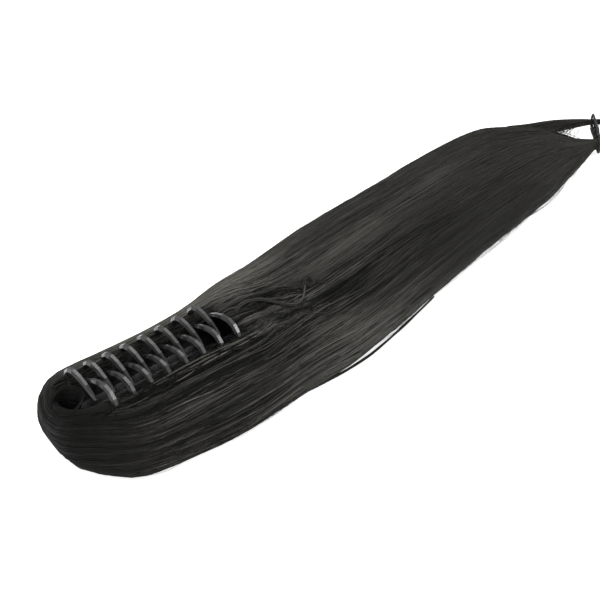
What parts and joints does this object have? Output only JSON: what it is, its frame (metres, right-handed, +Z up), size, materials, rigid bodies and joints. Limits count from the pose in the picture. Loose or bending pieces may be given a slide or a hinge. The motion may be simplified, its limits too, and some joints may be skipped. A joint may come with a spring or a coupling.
{
  "type": "ponytail hairpiece",
  "caption": "Claw-clip ponytail hairpiece of long straight dark hair, lying flat with its claw upwards and its tail gathered in a thin tie.",
  "frame": {"origin": "under the middle of the piece's box, on the surface it lies on", "axes": "+X from the rounded head towards the tied tail, +Z up, +Y to the far side, where the jaw that stays still is"},
  "size_m": [0.4714, 0.1312, 0.0448],
  "materials": {
    "dark_hair": "soft sheen along the strands",
    "black_plastic": "glossy",
    "plain_steel": "satin",
    "black_band": "matt"
  },
  "bodies": {
    "root": {"far_jaw": "black_plastic", "hinge_pin": "plain_steel", "closing_spring": "plain_steel", "far_hair": "dark_hair", "tail_hair": "dark_hair", "end_tie": "black_band"},
    "jaw_b": {"near_jaw": "black_plastic", "near_hair": "dark_hair"}
  },
  "joints": [
    {"name": "jaw_hinge", "type": "hinge", "parent": "root", "child": "jaw_b", "pos_m": [-0.17881, -0.01748, 0.01], "axis": [1, 0, 0], "range_deg": [0, 45], "stiffness_Nm_per_rad": 0.04, "springref_deg": -45.84}
  ]
}
